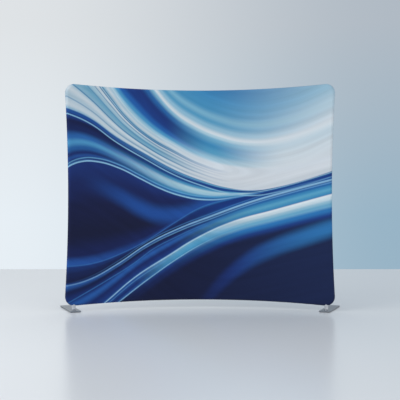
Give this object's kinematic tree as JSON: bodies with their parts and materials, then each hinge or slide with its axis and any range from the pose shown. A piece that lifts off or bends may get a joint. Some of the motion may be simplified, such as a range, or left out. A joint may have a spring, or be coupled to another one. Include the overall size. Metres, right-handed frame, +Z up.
{
  "type": "partition wall",
  "caption": "Free-standing curved display partition: a printed stretch-fabric cover over a bowed tube frame with snap-button joints, on two flat swivelling steel feet",
  "frame": {"origin": "on the floor, under the middle of the bounding box", "axes": "+X to the right along the wall, -Y towards the viewer on the hollow side, +Z up"},
  "size_m": [2.9506, 0.4772, 2.3],
  "materials": {
    "printed_fabric": "knitted polyester with a printed wave pattern, taut and matte",
    "zip_tape": "woven polyester tape",
    "zip_coil": "moulded nylon coil",
    "zip_metal": "plated zinc",
    "button_steel": "bright steel",
    "spring_steel": "tempered spring steel",
    "foot_rubber": "smooth rubber sheet",
    "foot_steel": "satin silver powder coat on steel",
    "post_chrome": "polished",
    "bolt_steel": "zinc plated steel",
    "cast_aluminium": "cast, satin",
    "tube_aluminium": "drawn tube, satin"
  },
  "bodies": {
    "frame": {"bottom_left_elbow": "cast_aluminium", "bottom_left_rail_snap_spring": "spring_steel", "bottom_left_side_snap_spring": "spring_steel", "bottom_pole_saddle": "cast_aluminium", "bottom_rail_left": "tube_aluminium", "bottom_rail_right": "tube_aluminium", "bottom_rail_splice_snap_spring": "spring_steel", "bottom_right_elbow": "cast_aluminium", "bottom_right_rail_snap_spring": "spring_steel", "bottom_right_side_snap_spring": "spring_steel", "centre_pole_lower": "tube_aluminium", "centre_pole_upper": "tube_aluminium", "cover_back": "printed_fabric", "cover_edge": "printed_fabric", "cover_front": "printed_fabric", "left_foot_bolt": "bolt_steel", "left_foot_socket": "post_chrome", "left_side_lower": "tube_aluminium", "left_side_splice_snap_spring": "spring_steel", "left_side_upper": "tube_aluminium", "pole_splice_snap_spring": "spring_steel", "right_foot_bolt": "bolt_steel", "right_foot_socket": "post_chrome", "right_side_lower": "tube_aluminium", "right_side_splice_snap_spring": "spring_steel", "right_side_upper": "tube_aluminium", "top_left_elbow": "cast_aluminium", "top_left_rail_snap_spring": "spring_steel", "top_left_side_snap_spring": "spring_steel", "top_pole_saddle": "cast_aluminium", "top_rail_left": "tube_aluminium", "top_rail_right": "tube_aluminium", "top_rail_splice_snap_spring": "spring_steel", "top_right_elbow": "cast_aluminium", "top_right_rail_snap_spring": "spring_steel", "top_right_side_snap_spring": "spring_steel", "zip_coil": "zip_coil", "zip_tape": "zip_tape"},
    "top_left_rail_snap_button": {"top_left_rail_snap_button": "button_steel"},
    "top_left_side_snap_button": {"top_left_side_snap_button": "button_steel"},
    "bottom_left_rail_snap_button": {"bottom_left_rail_snap_button": "button_steel"},
    "bottom_left_side_snap_button": {"bottom_left_side_snap_button": "button_steel"},
    "top_right_rail_snap_button": {"top_right_rail_snap_button": "button_steel"},
    "top_right_side_snap_button": {"top_right_side_snap_button": "button_steel"},
    "bottom_right_rail_snap_button": {"bottom_right_rail_snap_button": "button_steel"},
    "bottom_right_side_snap_button": {"bottom_right_side_snap_button": "button_steel"},
    "top_rail_splice_snap_button": {"top_rail_splice_snap_button": "button_steel"},
    "bottom_rail_splice_snap_button": {"bottom_rail_splice_snap_button": "button_steel"},
    "left_side_splice_snap_button": {"left_side_splice_snap_button": "button_steel"},
    "right_side_splice_snap_button": {"right_side_splice_snap_button": "button_steel"},
    "pole_splice_snap_button": {"pole_splice_snap_button": "button_steel"},
    "left_foot": {"left_foot_plate": "foot_steel", "left_foot_post": "post_chrome", "left_foot_pad": "foot_rubber"},
    "right_foot": {"right_foot_plate": "foot_steel", "right_foot_post": "post_chrome", "right_foot_pad": "foot_rubber"},
    "zip_slider_body": {"zip_slider": "zip_metal"},
    "zip_pull_body": {"zip_pull": "zip_metal"}
  },
  "joints": [
    {"name": "top_left_rail_snap_button_press", "type": "slide", "parent": "frame", "child": "top_left_rail_snap_button", "axis": [0, 0.1063, 0.9943], "range_m": [0, 0.0056], "stiffness_N_per_m": 900, "deforming": ["top_left_rail_snap_spring"]},
    {"name": "top_left_side_snap_button_press", "type": "slide", "parent": "frame", "child": "top_left_side_snap_button", "axis": [-0.8316, -0.5525, -0.0561], "range_m": [0, 0.0056], "stiffness_N_per_m": 900, "deforming": ["top_left_side_snap_spring"]},
    {"name": "bottom_left_rail_snap_button_press", "type": "slide", "parent": "frame", "child": "bottom_left_rail_snap_button", "axis": [0, 0.1063, -0.9943], "range_m": [0, 0.0056], "stiffness_N_per_m": 900, "deforming": ["bottom_left_rail_snap_spring"]},
    {"name": "bottom_left_side_snap_button_press", "type": "slide", "parent": "frame", "child": "bottom_left_side_snap_button", "axis": [-0.8316, -0.5525, 0.0561], "range_m": [0, 0.0056], "stiffness_N_per_m": 900, "deforming": ["bottom_left_side_snap_spring"]},
    {"name": "top_right_rail_snap_button_press", "type": "slide", "parent": "frame", "child": "top_right_rail_snap_button", "axis": [0, 0.1063, 0.9943], "range_m": [0, 0.0056], "stiffness_N_per_m": 900, "deforming": ["top_right_rail_snap_spring"]},
    {"name": "top_right_side_snap_button_press", "type": "slide", "parent": "frame", "child": "top_right_side_snap_button", "axis": [0.8316, -0.5525, -0.0561], "range_m": [0, 0.0056], "stiffness_N_per_m": 900, "deforming": ["top_right_side_snap_spring"]},
    {"name": "bottom_right_rail_snap_button_press", "type": "slide", "parent": "frame", "child": "bottom_right_rail_snap_button", "axis": [0, 0.1063, -0.9943], "range_m": [0, 0.0056], "stiffness_N_per_m": 900, "deforming": ["bottom_right_rail_snap_spring"]},
    {"name": "bottom_right_side_snap_button_press", "type": "slide", "parent": "frame", "child": "bottom_right_side_snap_button", "axis": [0.8316, -0.5525, 0.0561], "range_m": [0, 0.0056], "stiffness_N_per_m": 900, "deforming": ["bottom_right_side_snap_spring"]},
    {"name": "top_rail_splice_snap_button_press", "type": "slide", "parent": "frame", "child": "top_rail_splice_snap_button", "axis": [0, 0.1063, 0.9943], "range_m": [0, 0.0056], "stiffness_N_per_m": 900, "deforming": ["top_rail_splice_snap_spring"]},
    {"name": "bottom_rail_splice_snap_button_press", "type": "slide", "parent": "frame", "child": "bottom_rail_splice_snap_button", "axis": [0, 0.1063, -0.9943], "range_m": [0, 0.0056], "stiffness_N_per_m": 900, "deforming": ["bottom_rail_splice_snap_spring"]},
    {"name": "left_side_splice_snap_button_press", "type": "slide", "parent": "frame", "child": "left_side_splice_snap_button", "axis": [-0.8331, -0.5531, 0.002], "range_m": [0, 0.0056], "stiffness_N_per_m": 900, "deforming": ["left_side_splice_snap_spring"]},
    {"name": "right_side_splice_snap_button_press", "type": "slide", "parent": "frame", "child": "right_side_splice_snap_button", "axis": [0.8331, -0.5531, 0.002], "range_m": [0, 0.0056], "stiffness_N_per_m": 900, "deforming": ["right_side_splice_snap_spring"]},
    {"name": "pole_splice_snap_button_press", "type": "slide", "parent": "frame", "child": "pole_splice_snap_button", "axis": [-1, 0, 0], "range_m": [0, 0.0056], "stiffness_N_per_m": 900, "deforming": ["pole_splice_snap_spring"]},
    {"name": "left_foot_swivel", "type": "hinge", "parent": "frame", "child": "left_foot", "pos_m": [-1.279, -0.13627, 0.03], "axis": [0, 0, 1], "range_deg": [-90, 90]},
    {"name": "right_foot_swivel", "type": "hinge", "parent": "frame", "child": "right_foot", "pos_m": [1.279, -0.13627, 0.03], "axis": [0, 0, 1], "range_deg": [-90, 90]},
    {"name": "zip_run", "type": "hinge", "parent": "frame", "child": "zip_slider_body", "pos_m": [0, -3.00788, -0.22552], "axis": [0, -0.1063, 0.9943], "range_deg": [0, 39.62]},
    {"name": "zip_pull_hinge", "type": "hinge", "parent": "zip_slider_body", "child": "zip_pull_body", "pos_m": [1.08059, -0.02364, 0.07673], "axis": [0.1695, 0.3757, 0.9111], "range_deg": [-180, 0]}
  ]
}
